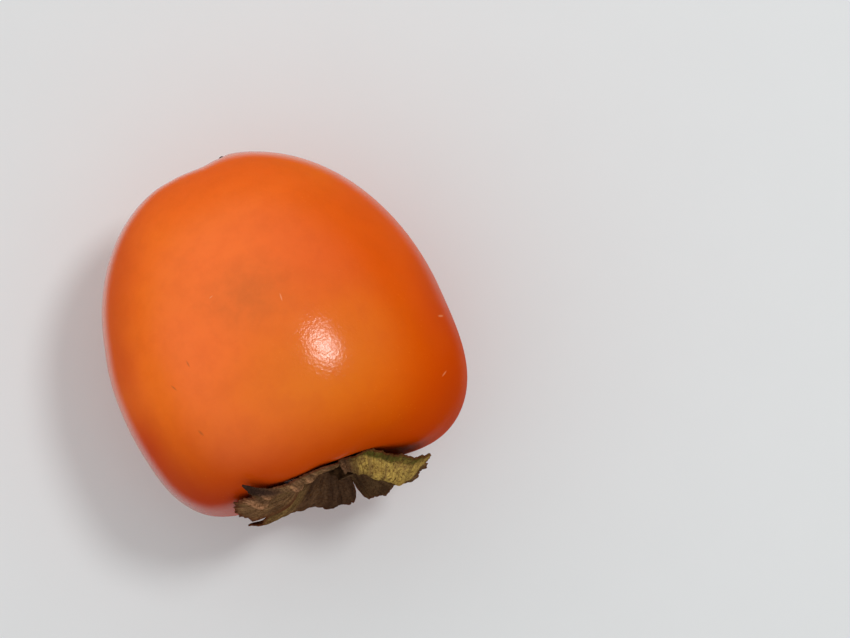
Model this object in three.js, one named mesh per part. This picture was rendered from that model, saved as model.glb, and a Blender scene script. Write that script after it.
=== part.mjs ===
// A whole ripe persimmon, lying on its side as it was put down.
//
// Frame, in millimetres: +Z is up and the table is the plane z = 0. The origin is the middle of the small
// flat spot that the fruit rests on. The fruit's own axis runs along +Y, from the dry calyx at the stem
// end (-Y) to the blossom end (+Y), which hangs a few degrees lower.
//
// Separate pieces: the fruit in its skin, the four-lobed calyx, the cut stub of the stalk, and the black
// dried style at the blossom end.
import * as THREE from "three";

// Driving dimensions of the fruit
const equatorRadius = 37.3;
const blossomHeight = 46.1; // from the widest section to the blossom end
const shoulderDepth = 31.0; // from the widest section to the bulges round the calyx
const blossomFullness = 2.1; // 2 is an ellipse, more is squarer
const shoulderFullness = 3.4;
const girthWaves = [
  { count: 4, height: 0.012, turn: -Math.PI / 2 }, // the four flat sides, drawn in
  { count: 2, height: 0.012, turn: 1.4 },
  { count: 3, height: 0.003, turn: 2.6 },
];
const lean = -0.027; // how far the axis leans sideways for each millimetre of height
const bow = 0.0016; // how far both ends bend up, for each square millimetre of height
const blossomDimple = { depth: 2.3, radius: 6.5, x: -2.6 };
const blossomFurrows = { depth: 0.22, radius: 9.0, turn: 1.3 };
const recess = { depth: 1.6, radius: 11.0 }; // the hollow that the calyx sits in
const saddle = { depth: 4.4, radius: 27.0, flatRadius: 4.5, openRadius: 14.0, roundness: 0.02, power: 0.3 };
// One side of the shoulder is fuller than the other.
const bulges = [
  { height: 1.9, radius: 11.0, x: 24.0, z: -2.0 },
  { height: 2.2, radius: 9.0, x: 19.0, z: 13.0 },
];
const noseDown = THREE.MathUtils.degToRad(6.0);
const flatSpotDepth = 0.4; // how far the skin is pressed in where the fruit rests

// Driving dimensions of the calyx, the stalk and the style
const blade = { thickness: 0.8, bossThickness: 1.4, bossShare: 0.25, x: 2.0 };
const cleftRadius = 9.0; // the four lobes are one sheet up to here
const web = { turn: 96, width: 12, reach: 11.0 }; // two of the lobes are joined further out
const freeFrom = 5.0; // from here outward the lobes lift off the fruit
const cupFrom = 0.45; // the share of the way out at which the cupped margins start to turn back
const clearance = 0.35;
const stalk = { radius: 2.3, collarRadius: 3.6, height: 2.0 };
const style = { radius: 0.8, height: 0.8, x: 6.0, z: 1.0 };

// The lobes, each between two clefts (degrees round the axis, from +X over the top of the fruit).
// skew moves the tip between its clefts. lift is how far the lobe's middle stands off the fruit, fully so
// at the distance freeBy, and early and late how far its sides do. cup is the share of this by which its
// margin turns back, and cupLate the same on its late side. ribbing is the share of the ribs that it has.
const lobes = [
  { from: -10, to: 90, length: 19.5, skew: 0,
    lift: 8.2, early: 3.5, late: 5.5, freeBy: 14, cup: 0.48, cupLate: 1.4, ribbing: 1 },
  { from: 90, to: 181, length: 28.5, skew: 0.1,
    lift: 0.3, early: 0.3, late: 0.8, freeBy: 20, cup: 0, cupLate: 0, ribbing: 0.35 },
  { from: 181, to: 270, length: 25, skew: -0.22,
    lift: 1.8, early: 0.1, late: 9.2, freeBy: 20, cup: 0, cupLate: 0, ribbing: 1 },
  { from: 270, to: 350, length: 20, skew: -0.05,
    lift: 5.6, early: 11, late: 2.5, freeBy: 20, cup: 0, cupLate: 0.1, ribbing: 1 },
];
const margin = { squareness: 3, roundness: 0.5, point: 0.09, pointWidth: 0.16 };
const marginTears = [
  { count: 11, height: 0.022, turn: 0.4 },
  { count: 29, height: 0.016, turn: 1.3 },
];
const ribs = { count: 19, height: 0.4, turn: 0.6 };
const billows = { count: 7, height: 0.5, turn: 2.0 };

// How finely the solids are faceted
const skinFacets = { around: 76, along: 38 };
const bladeFacets = { around: 126, out: 12 };

const smoothstep = THREE.MathUtils.smoothstep;
const bell = (distance, radius, power = 2) => Math.exp(-((distance / radius) ** power));
const waveSum = (all, turn) =>
  all.reduce((sum, wave) => sum + wave.height * Math.sin(wave.count * turn + wave.turn), 0);

// How wide the fruit is at an angle round its axis, as a share of its radius.
function girth(turn) {
  return 1 + waveSum(girthWaves, turn);
}

// Distance of the smooth skin from the middle of the widest section, at an angle from the blossom end.
function skinDistance(polar) {
  const blossomSide = Math.cos(polar) > 0;
  const height = blossomSide ? blossomHeight : shoulderDepth;
  const power = blossomSide ? blossomFullness : shoulderFullness;
  const sideways = (Math.sin(polar) / equatorRadius) ** power;
  const lengthways = (Math.abs(Math.cos(polar)) / height) ** power;
  return (sideways + lengthways) ** (-1 / power);
}

// How far the stem end is drawn in: the hollow of the calyx, and the saddle that runs from top to bottom.
function shoulderHollow(radius, turn) {
  const along = (Math.sin(turn) ** 2 + saddle.roundness) ** saddle.power;
  const trough = saddle.depth * (1 - smoothstep(radius, saddle.flatRadius, saddle.openRadius) * (1 - along));
  return recess.depth * bell(radius, recess.radius, 4) + trough * bell(radius, saddle.radius, 4);
}

// The whole fruit leans a little sideways, and both its ends bend up.
function bent(point) {
  return new THREE.Vector3(point.x + lean * point.y, point.y, point.z + bow * point.y ** 2);
}

// A point of the skin, from its direction seen from the middle of the widest section.
function skinPoint(direction) {
  const polar = Math.acos(THREE.MathUtils.clamp(direction.y, -1, 1));
  const turn = Math.atan2(direction.z, direction.x);
  const distance = skinDistance(polar);
  const radius = distance * Math.sin(polar) * girth(turn);
  let height = distance * Math.cos(polar);
  if (direction.y > 0) {
    const fromDimple = Math.hypot(radius * Math.cos(turn) - blossomDimple.x, radius * Math.sin(turn));
    const across = radius / blossomFurrows.radius;
    const fan = Math.cos(4 * turn + blossomFurrows.turn) * across ** 2 * Math.exp(1 - across ** 2);
    height -= blossomDimple.depth * bell(fromDimple, blossomDimple.radius) + blossomFurrows.depth * fan;
  } else {
    height += shoulderHollow(radius, turn);
    for (const bulge of bulges) {
      const fromBulge = Math.hypot(radius * Math.cos(turn) - bulge.x, radius * Math.sin(turn) - bulge.z);
      height -= bulge.height * bell(fromBulge, bulge.radius);
    }
  }
  return bent(new THREE.Vector3(radius * Math.cos(turn), height, radius * Math.sin(turn)));
}

// How deep the stem end's skin lies, at a place across the axis.
function shoulderSkinDepth(x, z) {
  const radius = Math.hypot(x, z);
  const turn = Math.atan2(z, x);
  const share = Math.min(radius / (equatorRadius * girth(turn)), 0.999);
  const smooth = shoulderDepth * (1 - share ** shoulderFullness) ** (1 / shoulderFullness);
  return smooth - shoulderHollow(radius, turn);
}

// The lobe that holds an angle, with the angle's place between its clefts from -1 to 1.
function lobeAt(turn) {
  const degrees = THREE.MathUtils.euclideanModulo(THREE.MathUtils.radToDeg(turn) + 10, 360) - 10;
  const lobe = lobes.find((l) => degrees >= l.from && degrees < l.to) ?? lobes[0];
  const half = (lobe.to - lobe.from) / 2;
  return { lobe, place: (degrees - lobe.from) / half - 1 };
}

// The distance of the ragged margin from the calyx's centre.
function marginRadius(turn) {
  const { lobe, place } = lobeAt(turn);
  const degrees = THREE.MathUtils.euclideanModulo(THREE.MathUtils.radToDeg(turn), 360);
  const joined = cleftRadius + web.reach * bell(degrees - web.turn, web.width);
  const skewed = THREE.MathUtils.clamp(place - lobe.skew * (1 - place ** 2), -1, 1);
  const outline = (1 - Math.abs(skewed) ** margin.squareness) ** margin.roundness;
  const point = margin.point * bell(skewed, margin.pointWidth);
  return joined + (lobe.length - joined) * outline * (1 + point + waveSum(marginTears, turn));
}

// The middle of the sheet, at an angle and at a share of the way from the centre to the margin.
function bladeMiddle(turn, share) {
  const { lobe, place } = lobeAt(turn);
  const radius = share * marginRadius(turn);
  const x = blade.x + radius * Math.cos(turn);
  const z = radius * Math.sin(turn);
  const free = smoothstep(radius, freeFrom, lobe.freeBy);
  const edge = place < 0 ? lobe.early : lobe.late;
  const standing = lobe.lift + (edge - lobe.lift) * place ** 2;
  const cup = lobe.cup + (lobe.cupLate - lobe.cup) * Math.max(place, 0);
  const turnedBack = Math.min(cup * smoothstep(share, cupFrom, 1), 1);
  const ribbed = lobe.ribbing * (ribs.height + billows.height + waveSum([ribs, billows], turn));
  const off = free * (standing * (1 - turnedBack) + ribbed);
  const depth = shoulderSkinDepth(x, z) + clearance + blade.thickness / 2 + off;
  return bent(new THREE.Vector3(x, -depth, z));
}

// A closed sheet in rings and spokes, split into triangles alike on both faces.
function sheetGeometry(middleAt, thicknessAt, facets) {
  const { around, out } = facets;
  const step = 1e-3;
  const place = (turn, share, side) => {
    const middle = middleAt(turn, share);
    const outward = middleAt(turn, Math.min(share + step, 1)).sub(middleAt(turn, Math.max(share - step, 0)));
    const onward = middleAt(turn + step, share).sub(middleAt(turn - step, share));
    const normal = share < 1e-6 ? new THREE.Vector3(0, -1, 0) : outward.cross(onward).normalize();
    return middle.addScaledVector(normal, side > 0 ? thicknessAt(share) : -blade.thickness / 2);
  };
  const positions = [];
  const faces = [];
  for (const side of [1, -1]) {
    positions.push(...place(0, 0, side));
    for (let ring = 1; ring <= out; ring++) {
      for (let spoke = 0; spoke < around; spoke++) {
        positions.push(...place((spoke / around) * 2 * Math.PI, ring / out, side));
      }
    }
  }
  const perSide = 1 + out * around;
  const at = (side, ring, spoke) =>
    side * perSide + (ring === 0 ? 0 : 1 + (ring - 1) * around + (spoke % around));
  const triangle = (side, a, b, c) => faces.push(...(side ? [a, c, b] : [a, b, c]));
  for (let spoke = 0; spoke < around; spoke++) {
    for (const side of [0, 1]) {
      triangle(side, at(side, 0, 0), at(side, 1, spoke), at(side, 1, spoke + 1));
      for (let ring = 1; ring < out; ring++) {
        const [a, b] = [at(side, ring, spoke), at(side, ring + 1, spoke)];
        const [c, d] = [at(side, ring + 1, spoke + 1), at(side, ring, spoke + 1)];
        triangle(side, a, b, c);
        triangle(side, a, c, d);
      }
    }
    const [a, b] = [at(0, out, spoke), at(0, out, spoke + 1)];
    const [c, d] = [at(1, out, spoke + 1), at(1, out, spoke)];
    faces.push(a, d, c, a, c, b);
  }
  const geometry = new THREE.BufferGeometry();
  geometry.setAttribute("position", new THREE.Float32BufferAttribute(positions, 3));
  geometry.setIndex(faces);
  geometry.computeVertexNormals();
  return geometry;
}

// A sphere's vertices moved out to the skin.
function skinGeometry() {
  const geometry = new THREE.SphereGeometry(1, skinFacets.around, skinFacets.along);
  const positions = geometry.getAttribute("position");
  const point = new THREE.Vector3();
  for (let i = 0; i < positions.count; i++) {
    point.copy(skinPoint(point.fromBufferAttribute(positions, i).normalize()));
    positions.setXYZ(i, point.x, point.y, point.z);
  }
  return geometry;
}

// The middle of what the fruit's weight presses flat.
function restingSpot(hanging) {
  hanging.computeBoundingBox();
  const level = hanging.boundingBox.min.z + flatSpotDepth;
  const positions = hanging.getAttribute("position");
  const point = new THREE.Vector3();
  const middle = new THREE.Vector3();
  let pressed = 0;
  for (let i = 0; i < positions.count; i++) {
    point.fromBufferAttribute(positions, i);
    if (point.z < level) {
      middle.add(point);
      pressed += 1;
    }
  }
  return middle.divideScalar(pressed).setZ(level);
}

// Presses flat what lies beyond a plane.
function pressFlat(geometry, plane) {
  const positions = geometry.getAttribute("position");
  const point = new THREE.Vector3();
  for (let i = 0; i < positions.count; i++) {
    point.fromBufferAttribute(positions, i);
    if (plane.distanceToPoint(point) < 0) {
      plane.projectPoint(point.clone(), point);
      positions.setXYZ(i, point.x, point.y, point.z);
    }
  }
  geometry.computeVertexNormals();
  return geometry;
}

// The stub of the stalk, cut with shears a few millimetres above the calyx.
function stalkGeometry() {
  const { radius, collarRadius, height } = stalk;
  const profile = [
    [0, 0],
    [collarRadius, 0],
    [collarRadius - 0.3, 0.4],
    [radius + 0.3, 0.8],
    [radius, 1.2],
    [radius + 0.1, height - 0.3],
    [radius - 0.2, height],
    [0, height - 0.3],
  ];
  return new THREE.LatheGeometry(profile.map(([r, y]) => new THREE.Vector2(r, -y)).reverse(), 20);
}

// The dried style: a small black thorn with a rounded foot.
function styleGeometry() {
  const { radius, height } = style;
  const profile = [
    [0, 0],
    [radius, 0],
    [radius * 0.85, height * 0.35],
    [radius * 0.4, height * 0.75],
    [0, height],
  ];
  return new THREE.LatheGeometry(profile.map(([r, y]) => new THREE.Vector2(r, y)), 10);
}

const finishes = {
  skin: new THREE.MeshStandardMaterial({ color: 0xe8641c, roughness: 0.3, metalness: 0 }),
  sepal: new THREE.MeshStandardMaterial({ color: 0x7a6436, roughness: 0.85, metalness: 0 }),
  wood: new THREE.MeshStandardMaterial({ color: 0x5b4630, roughness: 0.9, metalness: 0 }),
  withered: new THREE.MeshStandardMaterial({ color: 0x1d120e, roughness: 0.8, metalness: 0 }),
};

// The fruit hangs its blossom end down, with the lowest of its skin pressed a little into the table.
const persimmon = new THREE.Group();
persimmon.rotation.x = -noseDown;
persimmon.updateMatrixWorld(true);
const skin = skinGeometry();
persimmon.position.copy(restingSpot(skin.clone().applyMatrix4(persimmon.matrixWorld))).negate();
persimmon.updateMatrixWorld(true);
const table = new THREE.Plane(new THREE.Vector3(0, 0, 1), 0);
table.applyMatrix4(persimmon.matrixWorld.clone().invert());

function addPiece(name, geometry, material, position = [0, 0, 0]) {
  const mesh = new THREE.Mesh(geometry, material);
  mesh.name = name;
  mesh.position.set(...position);
  persimmon.add(mesh);
}

addPiece("fruit", pressFlat(skin, table), finishes.skin);

// The sheet thickens to a boss round the stalk, on its outer side.
const bossAt = (share) => blade.thickness / 2 + blade.bossThickness * bell(share, blade.bossShare, 4);
addPiece("calyx", sheetGeometry(bladeMiddle, bossAt, bladeFacets), finishes.sepal);

const hub = bladeMiddle(0, 0);
addPiece("stalk_stub", stalkGeometry(), finishes.wood, [hub.x, hub.y - bossAt(0) - clearance, hub.z]);

const foot = skinPoint(new THREE.Vector3(style.x, blossomHeight, style.z).normalize());
addPiece("style_tip", styleGeometry(), finishes.withered, [foot.x, foot.y + clearance, foot.z]);

export default persimmon;
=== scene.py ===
import math

import bmesh
import bpy
from mathutils import Matrix, Vector, noise


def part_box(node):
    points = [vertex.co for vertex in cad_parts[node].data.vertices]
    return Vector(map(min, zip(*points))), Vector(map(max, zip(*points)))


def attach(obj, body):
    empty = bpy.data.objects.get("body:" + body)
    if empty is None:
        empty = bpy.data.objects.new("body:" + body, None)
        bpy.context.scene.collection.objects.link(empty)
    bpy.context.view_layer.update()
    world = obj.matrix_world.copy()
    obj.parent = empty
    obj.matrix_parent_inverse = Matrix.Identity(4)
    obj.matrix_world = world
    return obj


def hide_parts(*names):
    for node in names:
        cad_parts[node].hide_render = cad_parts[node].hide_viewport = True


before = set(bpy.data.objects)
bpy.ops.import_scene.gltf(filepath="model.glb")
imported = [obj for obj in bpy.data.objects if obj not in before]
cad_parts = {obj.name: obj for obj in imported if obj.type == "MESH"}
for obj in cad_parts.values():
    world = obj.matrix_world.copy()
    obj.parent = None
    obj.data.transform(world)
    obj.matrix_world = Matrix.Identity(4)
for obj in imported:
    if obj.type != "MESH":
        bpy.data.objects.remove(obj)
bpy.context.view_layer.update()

# The fruit
# One whole ripe persimmon: soft flesh inside its own thin waxy skin, grown as one piece. It lies on its
# side on a small flat spot, its blossom end a little lower. Lengths in its formulas are in millimetres.
equator_radius = 37.3
blossom_height = 46.1
shoulder_depth = 31.0
blossom_fullness = 2.1
shoulder_fullness = 3.4
girth_waves = ((4, 0.012, -math.pi / 2), (2, 0.012, 1.4), (3, 0.003, 2.6))
lean = -0.027
bow = 0.0016
dimple_depth, dimple_radius, dimple_x = 2.3, 6.5, -2.6
furrow_depth, furrow_radius, furrow_turn = 0.22, 9.0, 1.3
recess_depth, recess_radius = 1.6, 11.0
saddle_depth, saddle_radius = 4.4, 27.0
saddle_flat, saddle_open = 4.5, 14.0
saddle_roundness, saddle_power = 0.02, 0.3
bulges = ((1.9, 11.0, 24.0, -2.0), (2.2, 9.0, 19.0, 13.0), (0.8, 7.0, -7.0, 25.0), (0.7, 7.0, 3.0, 23.5))
style_x, style_z = 6.0, 3.2
pit_depth, pit_radius, pit_narrowing = 0.6, 1.1, 0.3
unevenness, uneven_length = 0.07, 16.0
belly_middle = Vector((1.2, 2.6, 35.6))
swells = ((30, 52, 0.45), (94.5, 8.5, -0.46), (130, 30, 0.20), (180, 16, 0.50), (212, 11, -0.33))
skin_cuts = 110
metres_per_millimetre = 0.001
axis_tilt = Matrix.Rotation(math.radians(-6.0), 4, "X")
rest_place = (1.219, -1.746, 36.048)
to_rest = Matrix.Scale(metres_per_millimetre, 4) @ Matrix.Translation(rest_place) @ axis_tilt


def bell(distance, radius, power=2):
    return math.exp(-((distance / radius) ** power))


def smoothstep(value, low, high):
    share = min(max((value - low) / (high - low), 0.0), 1.0)
    return share * share * (3 - 2 * share)


def wave_sum(waves, turn):
    return sum(height * math.sin(count * turn + start) for count, height, start in waves)


def shoulder_hollow(radius, turn):
    along = (math.sin(turn) ** 2 + saddle_roundness) ** saddle_power
    trough = saddle_depth * (1 - smoothstep(radius, saddle_flat, saddle_open) * (1 - along))
    return recess_depth * bell(radius, recess_radius, 4) + trough * bell(radius, saddle_radius, 4)


def bent(x, y, z):
    return Vector((x + lean * y, y, z + bow * y * y))


def skin_point(direction):
    polar = math.acos(min(max(direction.y, -1.0), 1.0))
    turn = math.atan2(direction.z, direction.x)
    blossom_side = direction.y > 0
    height = blossom_height if blossom_side else shoulder_depth
    power = blossom_fullness if blossom_side else shoulder_fullness
    sideways = (math.sin(polar) / equator_radius) ** power
    lengthways = (abs(math.cos(polar)) / height) ** power
    distance = (sideways + lengthways) ** (-1 / power)
    radius = distance * math.sin(polar) * (1 + wave_sum(girth_waves, turn))
    height = distance * math.cos(polar)
    x, z = radius * math.cos(turn), radius * math.sin(turn)
    if blossom_side:
        across = radius / furrow_radius
        fan = math.cos(4 * turn + furrow_turn) * across**2 * math.exp(1 - across**2)
        height -= dimple_depth * bell(math.hypot(x - dimple_x, z), dimple_radius) + furrow_depth * fan
        height -= pit_depth * bell(math.hypot(x - style_x, pit_narrowing * (z - style_z)), pit_radius)
    else:
        height += shoulder_hollow(radius, turn)
        for rise, reach, bulge_x, bulge_z in bulges:
            height -= rise * bell(math.hypot(x - bulge_x, z - bulge_z), reach)
    return bent(x, height, z)


def swelling(point):
    outward = point / metres_per_millimetre - belly_middle
    turn = math.degrees(math.atan2(outward.y, outward.x))
    level = outward.xy.length / outward.length
    rise = 0.0
    for middle, width, height in swells:
        rise += height * bell((turn - middle + 180) % 360 - 180, width, 4)
    level_way = Vector((outward.x, outward.y, 0.0)).normalized()
    return level_way * rise * level**4 * metres_per_millimetre


def made_piece(name, body):
    mesh = bpy.data.meshes.new(name)
    body.to_mesh(mesh)
    body.free()
    mesh.polygons.foreach_set("use_smooth", [True] * len(mesh.polygons))
    piece = bpy.data.objects.new(name, mesh)
    bpy.context.collection.objects.link(piece)
    return piece


body = bmesh.new()
bmesh.ops.create_cube(body, size=2.0)
bmesh.ops.subdivide_edges(body, edges=body.edges, cuts=skin_cuts, use_grid_fill=True)
for vertex in body.verts:
    direction = Vector([math.tan(side * math.pi / 4) for side in vertex.co]).normalized()
    point = skin_point(direction)
    point -= direction * unevenness * (0.5 + 0.5 * noise.noise(point / uneven_length))
    point = to_rest @ point
    vertex.co = point + swelling(point)
    vertex.co.z = max(vertex.co.z, 0.0)
fruit = made_piece("persimmon_fruit", body)


def new_finish(name):
    finish = bpy.data.materials.new(name)
    finish.use_nodes = True
    tree = finish.node_tree
    return finish, tree, tree.nodes["Principled BSDF"]


def add(tree, kind, inputs, **settings):
    made = tree.nodes.new(kind)
    for key, value in settings.items():
        setattr(made, key, value)
    for key, value in inputs.items():
        if isinstance(value, bpy.types.NodeSocket):
            tree.links.new(value, made.inputs[key])
        else:
            made.inputs[key].default_value = value
    return made


def object_place(tree):
    return add(tree, "ShaderNodeTexCoord", {}).outputs["Object"]


def mixed(tree, factor, first, second):
    made = add(tree, "ShaderNodeMix", {0: factor, 6: first, 7: second}, data_type="RGBA")
    return made.outputs[2]


def ranged(tree, value, low, high, to_low=0.0, to_high=1.0):
    inputs = {"Value": value, "From Min": low, "From Max": high, "To Min": to_low, "To Max": to_high}
    return add(tree, "ShaderNodeMapRange", inputs, interpolation_type="SMOOTHSTEP").outputs[0]


def worked_out(tree, way, first, second=0.0):
    return add(tree, "ShaderNodeMath", {0: first, 1: second}, operation=way).outputs[0]


def plus(tree, first, second):
    return worked_out(tree, "ADD", first, second)


def times(tree, first, second):
    return worked_out(tree, "MULTIPLY", first, second)


def measured(tree, way, first, second=(0.0, 0.0, 0.0)):
    return add(tree, "ShaderNodeVectorMath", {0: first, 1: second}, operation=way).outputs["Value"]


def grains(tree, place, scale, detail=3.0, roughness=0.55, distortion=0.0):
    inputs = {"Vector": place, "Scale": scale, "Detail": detail}
    inputs |= {"Roughness": roughness, "Distortion": distortion}
    return add(tree, "ShaderNodeTexNoise", inputs).outputs["Fac"]


def near(tree, place, centre, reach, turn=(0.0, 0.0, 0.0), soft=0.4):
    inputs = {"Vector": place, "Location": centre, "Rotation": turn, "Scale": reach}
    local = add(tree, "ShaderNodeMapping", inputs, vector_type="TEXTURE").outputs[0]
    return ranged(tree, measured(tree, "LENGTH", local), 1.0, soft)


def tinted(tree, colour, tints):
    for mask, share, tone in tints:
        colour = mixed(tree, times(tree, mask, share), colour, tone)
    return colour


def bumped(tree, shader, relief, strength, distance, sockets=("Normal",)):
    bump = add(tree, "ShaderNodeBump", {"Strength": strength, "Distance": distance, "Height": relief})
    for socket in sockets:
        tree.links.new(bump.outputs[0], shader.inputs[socket])


def preset(shader, values):
    for socket, value in values.items():
        shader.inputs[socket].default_value = value


# The colours of the ripe skin, some of them painted sheen and shade, then its bruises and scuffs, each a
# middle, a reach and a turn.
sheen_lit_red_orange = (0.97, 0.175, 0.020, 1.0)
shaded_deep_orange = (0.74, 0.088, 0.000, 1.0)
amber = (0.88, 0.175, 0.003, 1.0)
golden = (0.77, 0.182, 0.000, 1.0)
rim_shade_red = (0.60, 0.055, 0.004, 1.0)
lower_left_shade_red = (0.64, 0.038, 0.003, 1.0)
right_shade_red = (0.54, 0.038, 0.000, 1.0)
blossom_orange = (0.80, 0.095, 0.004, 1.0)
mottle_red = (0.60, 0.075, 0.004, 1.0)
shoulder_shade_red = (0.46, 0.027, 0.000, 1.0)
smudge_brown = (0.36, 0.115, 0.015, 1.0)
speckle_peach = (0.93, 0.30, 0.04, 1.0)
bruise_brown = (0.20, 0.050, 0.010, 1.0)
scuff_peach = (0.86, 0.36, 0.16, 1.0)
bruises = (
    ((-0.01639, 0.00477, 0.06833), (0.0003, 0.0011, 0.0010), (0, 0, 0.1)),
    ((-0.02131, 0.00134, 0.06584), (0.0003, 0.0013, 0.0010), (0, 0, 0.5)),
    ((-0.01974, -0.00965, 0.06757), (0.0004, 0.0012, 0.0010), (0, 0, 0.45)),
    ((0.0225, 0.0110, -0.0010), (0.0030, 0.0009, 0.0200), (0, 0, 0.7)),
    ((-0.0300, 0.0100, 0.0200), (0.0006, 0.0013, 0.0016), (0.3, 0, 0)),
)
scuffs = (
    ((0.00729, 0.00984, 0.07074), (0.0002, 0.0011, 0.0010), (0, 0, -0.1)),
    ((-0.00627, 0.01575, 0.06916), (0.0006, 0.00015, 0.0010), (0, 0, 0.3)),
    ((0.0364, -0.00714, 0.05013), (0.0020, 0.0003, 0.0020), (0, 0, -0.35)),
    ((0.0322, -0.01888, 0.05628), (0.0012, 0.0002, 0.0020), (0, 0, 0.5)),
    ((0.0180, 0.0320, 0.0250), (0.0015, 0.0004, 0.0020), (0, 0.5, 0.5)),
    ((-0.0240, 0.0180, 0.0230), (0.0004, 0.0016, 0.0012), (0.6, 0, 0)),
)
waxy_skin, tree, skin = new_finish("waxy_skin")
place = object_place(tree)
split = add(tree, "ShaderNodeSeparateXYZ", {0: place})
along = split.outputs["Y"]
broad = grains(tree, place, 28.0, 2.0)
mottle = grains(tree, place, 210.0, 4.0, 0.6)
rightwards = (0.93, -0.36, 0.0)
across_fruit = measured(tree, "DOT_PRODUCT", place, rightwards)
wander = times(tree, plus(tree, broad, -0.5), 0.03)
side_place = plus(tree, across_fruit, wander)
gold = near(tree, place, (0.009, -0.008, 0.070), (0.030, 0.026, 0.050), soft=0.0)
# Painted shade: a darker red band inside the left rim, a darker red patch low on the left side, and a
# darker red right side.
painted_rim_shade = ranged(tree, side_place, -0.023, -0.035)
lower_left_shade = near(tree, place, (-0.0325, -0.0085, 0.045), (0.009, 0.016, 0.035), soft=0.0)
right_side_shade = ranged(tree, side_place, 0.024, 0.040)
blossom_side = ranged(tree, along, 0.030, 0.042)
# The skin darkens to a deep red towards the calyx and the lower left. This is painted shade where the skin
# turns under by the calyx.
left_side = worked_out(tree, "MINIMUM", side_place, 0.0)
near_side = plus(tree, along, times(tree, side_place, 0.25))
near_side = plus(tree, near_side, times(tree, left_side, 0.20))
calyx_side_shade = ranged(tree, near_side, -0.008, -0.034)
smudge = near(tree, place, (0.0012, 0.0130, 0.0703), (0.016, 0.012, 0.012), soft=0.0)
smudge = times(tree, smudge, ranged(tree, mottle, 0.25, 0.7, 0.17, 0.30))
speckle = add(tree, "ShaderNodeTexVoronoi", {"Vector": place, "Scale": 900.0}).outputs["Distance"]
speckle_field = ranged(tree, grains(tree, place, 120.0, 2.0), 0.45, 0.75)
pale = times(tree, ranged(tree, speckle, 0.16, 0.05), speckle_field)
tints = [
    (ranged(tree, broad, 0.42, 0.68), 0.45, amber),
    (gold, 0.75, golden),
    (painted_rim_shade, 0.60, rim_shade_red),
    (lower_left_shade, 0.85, lower_left_shade_red),
    (right_side_shade, 0.70, right_shade_red),
    (blossom_side, 0.60, blossom_orange),
    (ranged(tree, mottle, 0.35, 0.75), 0.16, mottle_red),
    (calyx_side_shade, 0.95, shoulder_shade_red),
    (smudge, 1.0, smudge_brown),
    (pale, 0.30, speckle_peach),
]
tints += [(near(tree, place, *bruise, soft=0.0), 0.42, bruise_brown) for bruise in bruises]
tints += [(near(tree, place, *scuff), 0.55, scuff_peach) for scuff in scuffs]
# Across the fruit the skin runs from a lighter red-orange on the left, with painted sheen in its blue, to a
# deeper orange on the right that is partly the skin's own tone and partly painted shade.
colour = mixed(tree, ranged(tree, side_place, -0.022, 0.030), sheen_lit_red_orange, shaded_deep_orange)
tree.links.new(tinted(tree, colour, tints), skin.inputs["Base Color"])
# The bump holds the peel's fine grain, and a low ridge round the belly that keeps the highlight in place.
peel = grains(tree, place, 1500.0, 3.0, 0.6)
ripple = grains(tree, place, 300.0, 2.0, 0.5)
relief = plus(tree, times(tree, peel, 0.05), times(tree, ripple, 0.05))
relief = plus(tree, relief, times(tree, pale, 0.01))
ridge_roundness, ridge_slope = 0.009, -125.0
ridge = worked_out(tree, "SQRT", plus(tree, times(tree, along, along), ridge_roundness**2))
relief = plus(tree, relief, times(tree, ridge, ridge_slope))
bumped(tree, skin, relief, 1.0, metres_per_millimetre, ("Normal", "Coat Normal"))
tree.links.new(ranged(tree, mottle, 0.3, 0.8, 0.30, 0.42), skin.inputs["Roughness"])
# The wax shines where the skin faces the eye and again at its rim, least on the side by the calyx.
grazing = add(tree, "ShaderNodeLayerWeight", {"Blend": 0.5}).outputs["Facing"]
rim = times(tree, ranged(tree, grazing, 0.67, 0.87), ranged(tree, side_place, 0.0, 0.028, 0.9, 0.35))
gloss = plus(tree, ranged(tree, grazing, 0.10, 0.35, 0.62, 0.08), rim)
right_of_calyx = plus(tree, along, times(tree, split.outputs["X"], -0.3))
sheltered = ranged(tree, right_of_calyx, -0.010, -0.029, 1.0, 0.25)
tree.links.new(times(tree, gloss, sheltered), skin.inputs["Coat Weight"])
preset(skin, {"Subsurface Weight": 0.12, "Subsurface Radius": (1.0, 0.30, 0.08), "Subsurface Scale": 0.003})
preset(skin, {"Specular IOR Level": 0.0, "Coat Roughness": 0.16})
fruit.data.materials.append(waxy_skin)
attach(fruit, "root")
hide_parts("fruit")

# The calyx
# The dried leafy star at the stem end: four papery brown lobes grown together round the stalk. Each has
# shrivelled in its own way, one flat on the skin with a rolled margin, one curled up like a boat.
blade_x = 2.0
blade_thickness = 0.8
clearance = 0.35
cleft_radius = 9.0
free_from = 5.0
cup_from = 0.45
boss_thickness, boss_share = 1.4, 0.25
thin_share = 0.16
spoke_steps, turn_steps = 54, 720
wall_thickness = 0.0022
margin_squareness, margin_roundness = 3, 0.5
margin_point, margin_point_width = 0.09, 0.16
margin_tears = ((11, 0.022, 0.4), (29, 0.016, 1.3), (67, 0.012, 0.2), (131, 0.013, 2.1), (211, 0.010, 0.7))
ribs = (19, 0.4, 0.6)
billows = (7, 0.5, 2.0)
rib_loss = 0.8
roll_turn, roll_width, roll_share, roll_breadth, roll_height = 124.0, 19.0, 0.85, 0.075, 1.5
groove_inward, groove_breadth, groove_depth = 0.18, 0.06, 0.35
tip_turn, tip_width, tip_reach = 126.0, 3.4, 0.30
web_turn, web_width, web_reach = 96.0, 12.0, 11.0
seam_turn = 172.0
corners = ((164, 9, -0.10), (201, 4, 0.10), (108, 13, -0.10))
curled_margin = (232.0, 17.0, 0.5, 1.0)
raised_tip = (tip_turn, tip_width, 0.90, 1.0)
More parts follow.
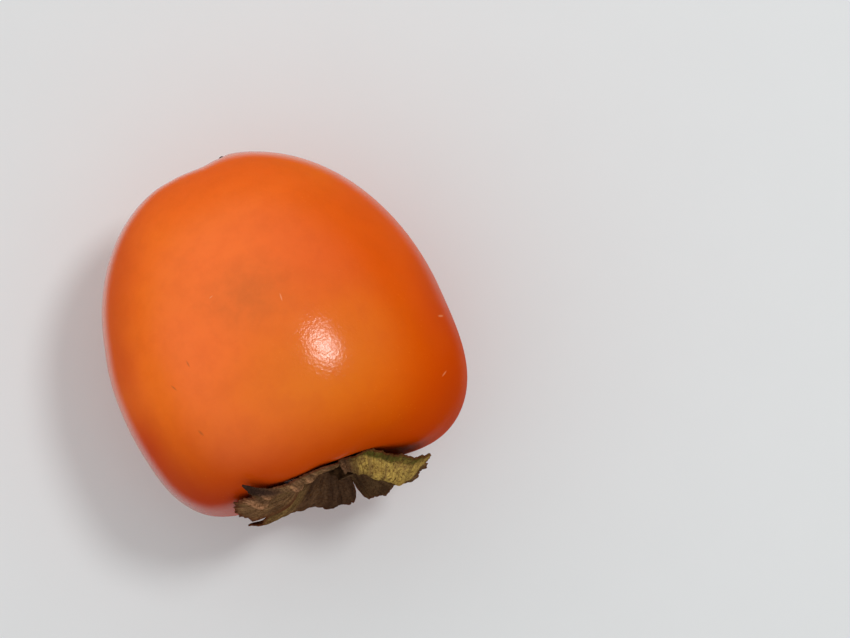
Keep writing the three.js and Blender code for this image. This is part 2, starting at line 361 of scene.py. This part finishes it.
raised_seam = (seam_turn, 2.5, 0.3, 0.6)
rises = ((0.9, curled_margin), (1.1, raised_tip), (0.7, raised_seam))
knuckle_count, knuckle_slant, knuckle_height, knuckle_scatter = 37, 9, 0.35, 0.5
fold_height, fold_scales = 0.55, (9, 1.6)
crease_height, crease_middle, crease_scales = 0.9, 0.2, (21, 3.5)
crumple_height, crumple_length = 0.25, 2.2
wrinkle_share = 0.7
lobes = (
    {"from": -10, "to": 90, "length": 19.5, "skew": 0, "lift": 8.2, "early": 3.5, "late": 5.5,
     "free_by": 14, "cup": 0.48, "cup_late": 1.4, "ribs": 1.0, "calm_rim": 0.0},
    {"from": 90, "to": 181, "length": 28.5, "skew": 0.1, "lift": 0.3, "early": 0.3, "late": 0.8,
     "free_by": 20, "cup": 0, "cup_late": 0, "ribs": 0.35, "calm_rim": 0.5},
    {"from": 181, "to": 270, "length": 25, "skew": -0.22, "lift": 1.8, "early": 0.1, "late": 9.2,
     "free_by": 20, "cup": 0, "cup_late": 0, "ribs": 1.0, "calm_rim": 0.0},
    {"from": 270, "to": 350, "length": 20, "skew": -0.05, "lift": 5.6, "early": 11, "late": 2.5,
     "free_by": 20, "cup": 0, "cup_late": 0.1, "ribs": 1.0, "calm_rim": 0.0},
)
first_cleft = lobes[0]["from"]


def lobe_at(turn):
    degrees = (math.degrees(turn) - first_cleft) % 360 + first_cleft
    for number, lobe in enumerate(lobes):
        if lobe["from"] <= degrees < lobe["to"]:
            half = (lobe["to"] - lobe["from"]) / 2
            return number, (degrees - lobe["from"]) / half - 1
    return 0, -1.0


def shoulder_skin_depth(x, z):
    radius, turn = math.hypot(x, z), math.atan2(z, x)
    share = min(radius / (equator_radius * (1 + wave_sum(girth_waves, turn))), 0.999)
    smooth = shoulder_depth * (1 - share**shoulder_fullness) ** (1 / shoulder_fullness)
    return smooth - shoulder_hollow(radius, turn)


def margin_radius(turn):
    number, between = lobe_at(turn)
    lobe = lobes[number]
    skewed = min(max(between - lobe["skew"] * (1 - between**2), -1.0), 1.0)
    outline = (1 - abs(skewed) ** margin_squareness) ** margin_roundness
    point = margin_point * bell(skewed, margin_point_width)
    degrees = math.degrees(turn) % 360
    cleft = cleft_radius + web_reach * bell(degrees - web_turn, web_width)
    tip = tip_reach * bell(degrees - tip_turn, tip_width)
    corner = sum(height * bell(degrees - middle, width) for middle, width, height in corners)
    reach = (lobe["length"] - cleft) * outline * (1 + point + tip + corner + wave_sum(margin_tears, turn))
    return cleft + reach


def knuckles(turn, share):
    even = knuckle_height * math.sin(turn * knuckle_count + share * knuckle_slant)
    return 1 + even + knuckle_scatter * noise.noise(Vector((turn * 14, share * 3, 9.0)))


def star_noise(turn, share, round_scale, outward_scale):
    x, y = math.cos(turn) * round_scale, math.sin(turn) * round_scale
    return noise.noise(Vector((x, y, share * outward_scale)))


def creases(turn, share):
    return abs(star_noise(turn, share, *crease_scales))


def patch(degrees, share, middle, width, inner, outer, power=2):
    return bell(degrees - middle, width, power) * smoothstep(share, inner, outer)


def standing(lobe, between):
    edge = lobe["early"] if between < 0 else lobe["late"]
    return lobe["lift"] + (edge - lobe["lift"]) * between**2


def turned_back(lobe, between, share):
    cup = lobe["cup"] + (lobe["cup_late"] - lobe["cup"]) * max(between, 0)
    return min(cup * smoothstep(share, cup_from, 1), 1)


def rolled_margin(turn, share):
    roll = bell(math.degrees(turn) % 360 - roll_turn, roll_width, 4)
    rope = roll_height * knuckles(turn, share) * bell(share - roll_share, roll_breadth)
    return roll * (rope - groove_depth * bell(share - roll_share + groove_inward, groove_breadth))


def wrinkles(turn, share, x, z):
    folds = fold_height * star_noise(turn, share, *fold_scales)
    crumple = crumple_height * noise.noise(Vector((x / crumple_length, z / crumple_length, 4.0)))
    return folds + crease_height * (creases(turn, share) - crease_middle) + crumple


def blade_middle(turn, share):
    number, between = lobe_at(turn)
    lobe = lobes[number]
    radius = share * margin_radius(turn)
    x, z = blade_x + radius * math.cos(turn), radius * math.sin(turn)
    degrees = math.degrees(turn) % 360
    free = smoothstep(radius, free_from, lobe["free_by"])
    curl = turned_back(lobe, between, share)
    ribbed = lobe["ribs"] * (1 - rib_loss * curl) * (ribs[1] + billows[1] + wave_sum((ribs, billows), turn))
    off = free * (standing(lobe, between) * (1 - curl) + ribbed) + rolled_margin(turn, share)
    off += sum(height * patch(degrees, share, *area) for height, area in rises)
    calm = wrinkle_share - lobe["calm_rim"] * smoothstep(share, 0.8, 1.0)
    off += free * calm * wrinkles(turn, share, x, z)
    boss_rise = boss_thickness / 2 * bell(share, boss_share, 4)
    depth = shoulder_skin_depth(x, z) + clearance + blade_thickness / 2 + off + boss_rise
    return bent(x, -depth, z)


# Where the leaf's tones lie: degrees round the star and shares of the way out to its margin.
tone_names = ("olive", "tan", "shade", "edge", "green")
upper_fold, brown_fade, under_fade = (72, 84), (195, 225), (325, 342)
green_from, green_to, green_share = (18, 34), (76, 84), (0.86, 0.90)
dark_from, dark_to = (232, 250), (285, 350)
rolled_area = (roll_turn, roll_width + 4, 0.72, 0.86, 4)
rope_area = (99, 9, 0.62, 0.80)
dark_tip_area = (tip_turn, tip_width + 1, 0.84, 0.90, 4)
seam_area = (seam_turn, 2.0, 0.35, 0.60)
dry_turn, dry_width = 158, 16
olive_share, margin_share = (0.3, 0.55), (0.955, 0.995)
middle_share, crease_share = (0.05, 0.45), (0.3, 0.5)
crease_width = 0.07


def leaf_tones(turn, share):
    number = lobe_at(turn)[0]
    degrees = math.degrees(turn) % 360
    upper_blade = 1 - smoothstep(degrees, *upper_fold)
    brown_blade = 0.25 * (1 - smoothstep(degrees, *brown_fade))
    under_blade = 0.1 + 0.9 * smoothstep(degrees, *under_fade)
    olive = (upper_blade, 0.14, brown_blade, under_blade)[number] * smoothstep(share, *olive_share)
    # The rolled margin is tan, lightest on its knuckle tops, which is a painted highlight.
    knuckle_highlight = 0.15 + 0.85 * smoothstep(knuckles(turn, share), 0.6, 1.4)
    rope = max(patch(degrees, share, *rolled_area), 0.8 * patch(degrees, share, *rope_area))
    tan = max(rope * knuckle_highlight, 0.35 * bell(degrees - dry_turn, dry_width))
    # The shade tone is painted shade in the middle of the star among the standing lobes, over the far lobes
    # and in the creases. The curled tip is dark as well.
    dark_tip = 1.5 * patch(degrees, share, *dark_tip_area)
    far_blade_shade = 0.65 * smoothstep(degrees, *dark_from) * (1 - smoothstep(degrees, *dark_to))
    crease_shade = 0.7 * bell(creases(turn, share), crease_width) * smoothstep(share, *crease_share)
    shade = max(1 - smoothstep(share, *middle_share), dark_tip, far_blade_shade, crease_shade)
    seam = patch(degrees, share, *seam_area)
    edge = max(smoothstep(share, *margin_share), seam) * (1 - min(dark_tip, 1.0))
    # A dark green strip along the upper margin of the first lobe is the green of its inner face, darkened
    # as painted shade.
    strip = smoothstep(degrees, *green_from) * (1 - smoothstep(degrees, *green_to)) * (number == 0)
    return olive, tan, shade, edge, strip * smoothstep(share, *green_share)


def spun(body, places, steps, merge_within):
    points = [body.verts.new(place) for place in places]
    edges = [body.edges.new(pair) for pair in zip(points, points[1:])]
    bmesh.ops.spin(
        body,
        geom=points + edges,
        cent=(0, 0, 0),
        axis=(0, 0, 1),
        angle=math.tau,
        steps=steps,
        use_merge=True,
    )
    bmesh.ops.remove_doubles(body, verts=body.verts, dist=merge_within)


sheet = bmesh.new()
spun(sheet, [(step / spoke_steps, 0.0, 0.0) for step in range(spoke_steps + 1)], turn_steps, 1e-5)
layers = [sheet.verts.layers.float.new(name) for name in tone_names]
spread = sheet.loops.layers.uv.new("spread")
for face in sheet.faces:
    for loop in face.loops:
        loop[spread].uv = loop.vert.co.xy
wall_shares = {}
for vertex in sheet.verts:
    turn, share = math.atan2(vertex.co.y, vertex.co.x), min(vertex.co.xy.length, 1.0)
    for layer, tone in zip(layers, leaf_tones(turn, share)):
        vertex[layer] = tone
    wall_shares[vertex.index] = thin_share + (1 - thin_share) * bell(share, boss_share, 4)
    vertex.co = to_rest @ blade_middle(turn, share)
bmesh.ops.recalc_face_normals(sheet, faces=sheet.faces)
calyx = made_piece("dried_calyx", sheet)
boss = calyx.vertex_groups.new(name="boss")
for index, weight in wall_shares.items():
    boss.add([index], weight, "REPLACE")
wall = calyx.modifiers.new("papery_wall", "SOLIDIFY")
wall.thickness = wall_thickness
wall.offset = 0.0
wall.vertex_group = "boss"
wall.material_offset = 1

shaded_moss_green = (0.110, 0.095, 0.018, 1.0)
fleck_brown = (0.115, 0.047, 0.015, 1.0)
shade_brown = (0.034, 0.018, 0.014, 1.0)
edge_red = (0.130, 0.034, 0.014, 1.0)
outer_tones = {
    "brown": (0.215, 0.112, 0.056, 1.0),
    "dark": (0.085, 0.040, 0.022, 1.0),
    "olive_light": (0.640, 0.430, 0.104, 1.0),
    "olive_dark": (0.390, 0.240, 0.058, 1.0),
    "tan_tone": (0.580, 0.275, 0.140, 1.0),
}
# The other face of the papery sheet takes darker copies of the outer tones, which is painted shade.
shaded_inner_tones = {
    "brown": (0.110, 0.062, 0.028, 1.0),
    "dark": (0.050, 0.026, 0.014, 1.0),
    "olive_light": (0.110, 0.098, 0.022, 1.0),
    "olive_dark": (0.060, 0.056, 0.016, 1.0),
    "tan_tone": (0.230, 0.130, 0.060, 1.0),
}


def leaf_finish(name, brown, dark, olive_light, olive_dark, tan_tone):
    finish, tree, leaf = new_finish(name)
    place = object_place(tree)
    marks = {}
    for key in tone_names:
        marks[key] = add(tree, "ShaderNodeAttribute", {}, attribute_name=key).outputs["Fac"]
    spread = add(tree, "ShaderNodeUVMap", {}, uv_map="spread").outputs[0]
    parts = add(tree, "ShaderNodeSeparateXYZ", {0: spread})
    turn = worked_out(tree, "ARCTAN2", parts.outputs["Y"], parts.outputs["X"])
    share = measured(tree, "LENGTH", spread)
    polar = add(tree, "ShaderNodeCombineXYZ", {"X": turn, "Y": times(tree, share, 0.16)}).outputs[0]
    streaks = grains(tree, polar, 16.0, 5.0, 0.65)
    patches = grains(tree, place, 260.0, 4.0, 0.6, 0.4)
    flecks = grains(tree, place, 1500.0, 3.0, 0.7)
    grain = plus(tree, times(tree, streaks, 0.6), times(tree, patches, 0.4))
    olives = mixed(tree, ranged(tree, patches, 0.3, 0.7), olive_dark, olive_light)
    olives = mixed(tree, ranged(tree, streaks, 0.55, 0.35, 0.0, 0.45), olives, brown)
    green = times(tree, marks["green"], ranged(tree, patches, 0.35, 0.55, 0.55, 1.0))
    tans = mixed(tree, ranged(tree, streaks, 0.35, 0.6), brown, tan_tone)
    tints = (
        (marks["olive"], 1.0, olives),
        (green, 1.0, shaded_moss_green),
        (marks["tan"], 0.85, tans),
        (ranged(tree, flecks, 0.49, 0.64), 0.75, fleck_brown),
        (marks["shade"], 0.65, shade_brown),
        (marks["edge"], 0.75, edge_red),
    )
    colour = mixed(tree, ranged(tree, grain, 0.36, 0.64), dark, brown)
    tree.links.new(tinted(tree, colour, tints), leaf.inputs["Base Color"])
    net = add(tree, "ShaderNodeTexVoronoi", {"Vector": place, "Scale": 1100.0}, feature="DISTANCE_TO_EDGE")
    relief = ranged(tree, net.outputs[0], 0.0, 0.14, 1.0, 0.0)
    relief = plus(tree, relief, times(tree, streaks, 3.0))
    relief = plus(tree, relief, times(tree, patches, 2.0))
    bumped(tree, leaf, relief, 0.9, 0.00018)
    preset(leaf, {"Roughness": 0.70, "Specular IOR Level": 0.0})
    return finish


calyx.data.materials.append(leaf_finish("dry_leaf", **outer_tones))
calyx.data.materials.append(leaf_finish("leaf_inside_shaded", **shaded_inner_tones))
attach(calyx, "root")
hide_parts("calyx")

# The stub of the stalk
# A few millimetres of woody stalk left on the calyx when the fruit was picked with shears: a swollen ring
# at its foot, grey-brown bark round it, and a dry fibrous cut face.
low, high = (Vector(corner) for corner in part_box("stalk_stub"))
sunk_into_calyx = Vector((0.0, 0.00025, 0.0))
stub_centre = (low + high) / 2 + sunk_into_calyx
profile = ((0.0, 0.0012), (0.0035, 0.0012), (0.0036, 0.0008), (0.0033, 0.0003), (0.0026, 0.0),
           (0.0023, -0.0004), (0.0023, -0.0009), (0.0024, -0.0012), (0.0021, -0.0014), (0.0, -0.0011))
stub_sides = 48
bark_roughness, bark_scale = 0.00012, 1400
bark_dark, bark_light = (0.026, 0.012, 0.006, 1.0), (0.070, 0.034, 0.015, 1.0)
cut_wood = (0.14, 0.080, 0.042, 1.0)
cut_height, cut_reach = -0.0012, 0.0019
stub_body = bmesh.new()
spun(stub_body, [(radius, 0.0, height) for radius, height in profile], stub_sides, 1e-6)
bmesh.ops.subdivide_edges(stub_body, edges=stub_body.edges, cuts=1, use_grid_fill=True)
stub_tilt = axis_tilt @ Matrix.Rotation(math.radians(-90.0), 4, "X")
for vertex in stub_body.verts:
    rough = noise.noise(vertex.co * bark_scale) * bark_roughness
    vertex.co += Vector((vertex.co.x, vertex.co.y, 0)).normalized() * rough
    vertex.co = stub_centre + stub_tilt @ vertex.co
bmesh.ops.recalc_face_normals(stub_body, faces=stub_body.faces)
stub = made_piece("stalk_stub_piece", stub_body)
bark, tree, wood = new_finish("stalk_bark")
place = object_place(tree)
fibres = grains(tree, place, 900.0, 4.0, 0.6)
colour = mixed(tree, ranged(tree, fibres, 0.35, 0.7), bark_dark, bark_light)
cut_middle = stub_centre + stub_tilt @ Vector((0.0, 0.0, cut_height))
cut_face = near(tree, place, cut_middle, (cut_reach, cut_reach, cut_reach), soft=0.8)
cut_face = times(tree, cut_face, ranged(tree, fibres, 0.3, 0.7))
tree.links.new(mixed(tree, cut_face, colour, cut_wood), wood.inputs["Base Color"])
bumped(tree, wood, fibres, 0.7, 0.0002)
preset(wood, {"Roughness": 0.85, "Specular IOR Level": 0.0})
stub.data.materials.append(bark)
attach(stub, "root")
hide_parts("stalk_stub")

# The dried style
# What is left of the flower at the blossom end: a tiny black thorn that withered and stayed on the skin,
# half sunk in a shallow furrow of its own.
thorn_half_sizes = (0.00075, 0.00044, 0.00044)
thorn_rise = 0.0002
thorn_roughness, thorn_scale = 0.25, 3000
thorn_dark, thorn_light = (0.020, 0.004, 0.002, 1.0), (0.075, 0.014, 0.007, 1.0)
pit_place = to_rest @ bent(style_x, blossom_height, style_z)
seat = min(fruit.data.vertices, key=lambda vertex: (vertex.co - pit_place).length_squared)
thorn_centre = seat.co + seat.normal * thorn_rise
thorn_body = bmesh.new()
bmesh.ops.create_uvsphere(thorn_body, u_segments=24, v_segments=14, radius=1.0)
for vertex in thorn_body.verts:
    vertex.co = Vector(side * half for side, half in zip(vertex.co, thorn_half_sizes))
    vertex.co *= 1 + thorn_roughness * noise.noise(vertex.co * thorn_scale)
    vertex.co += thorn_centre
thorn = made_piece("dried_style", thorn_body)
withered, tree, black = new_finish("withered_black")
crust = grains(tree, object_place(tree), 2500.0, 3.0)
tree.links.new(mixed(tree, crust, thorn_dark, thorn_light), black.inputs["Base Color"])
bumped(tree, black, crust, 0.6, 0.0001)
preset(black, {"Roughness": 0.8, "Specular IOR Level": 0.0})
thorn.data.materials.append(withered)
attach(thorn, "root")
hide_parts("style_tip")

# The floor
# A plain pale sheet under the fruit, matt like paper, with a barely seen tooth. It is wide enough to fill
# the picture from every side.
floor_half_width = 2.5
pale_dark, pale_light = (0.772, 0.792, 0.797, 1.0), (0.788, 0.808, 0.813, 1.0)
floor_body = bmesh.new()
bmesh.ops.create_grid(floor_body, x_segments=1, y_segments=1, size=floor_half_width)
floor = made_piece("floor", floor_body)
paper, tree, matt = new_finish("pale_paper")
tooth = grains(tree, object_place(tree), 60.0, 3.0)
tree.links.new(mixed(tree, tooth, pale_dark, pale_light), matt.inputs["Base Color"])
preset(matt, {"Roughness": 0.9, "Specular IOR Level": 0.2})
floor.data.materials.append(paper)

# The camera and the light
# The camera looks straight down, as in the photo. One compact round softbox stands high at the upper
# right, and an even pale room, brighter towards the upper left, fills in the shadows.
image_width, image_height = 850, 638
metres_per_pixel = 0.0002209
lens, sensor = 135.0, 36.0
camera_turn = math.radians(23.5)
fruit_pixel = (276, 339)
across = Vector((math.cos(camera_turn), -math.sin(camera_turn), 0.0))
upward = Vector((math.sin(camera_turn), math.cos(camera_turn), 0.0))
fruit_middle = to_rest @ Vector((0.0, 4.4, 0.0))
height_above = image_width * metres_per_pixel * lens / sensor
eye = fruit_middle - across * ((fruit_pixel[0] - image_width / 2) * metres_per_pixel)
eye += upward * ((fruit_pixel[1] - image_height / 2) * metres_per_pixel)
eye += Vector((0.0, 0.0, height_above))
camera_data = bpy.data.cameras.new("camera")
camera_data.lens = lens
camera_data.sensor_width = sensor
camera_data.clip_start = 0.01
camera = bpy.data.objects.new("camera", camera_data)
turned = Matrix(((across.x, upward.x, 0.0), (across.y, upward.y, 0.0), (0.0, 0.0, 1.0)))
camera.matrix_world = Matrix.Translation(eye) @ turned.to_4x4()
bpy.context.collection.objects.link(camera)
bpy.context.scene.camera = camera

key_toward = Vector((0.406, 0.112, 0.898))
key_distance, key_width, key_radiance = 1.0, 0.18, 38.0
panel = bpy.data.lights.new("key_softbox", "AREA")
panel.shape = "ELLIPSE"
panel.size = key_width
panel.size_y = key_width
panel.energy = key_radiance * math.pi * key_width**2 * math.pi / 4
lamp = bpy.data.objects.new("key_softbox", panel)
lamp.location = fruit_middle + key_toward.normalized() * key_distance
lamp.rotation_euler = key_toward.to_track_quat("Z", "Y").to_euler()
bpy.context.collection.objects.link(lamp)

bright_side = (-0.40, 0.70, 0.59)
room_dim, room_bright = 0.40, 0.78
room = bpy.data.worlds.new("room")
room.use_nodes = True
tree = room.node_tree
sky = add(tree, "ShaderNodeTexCoord", {}).outputs["Generated"]
facing = measured(tree, "DOT_PRODUCT", sky, bright_side)
background = tree.nodes["Background"]
tree.links.new(ranged(tree, facing, -0.60, 1.0, room_dim, room_bright), background.inputs["Strength"])
background.inputs["Color"].default_value = (1.0, 1.0, 1.0, 1.0)
bpy.context.scene.world = room
bpy.context.scene.view_settings.view_transform = "Standard"
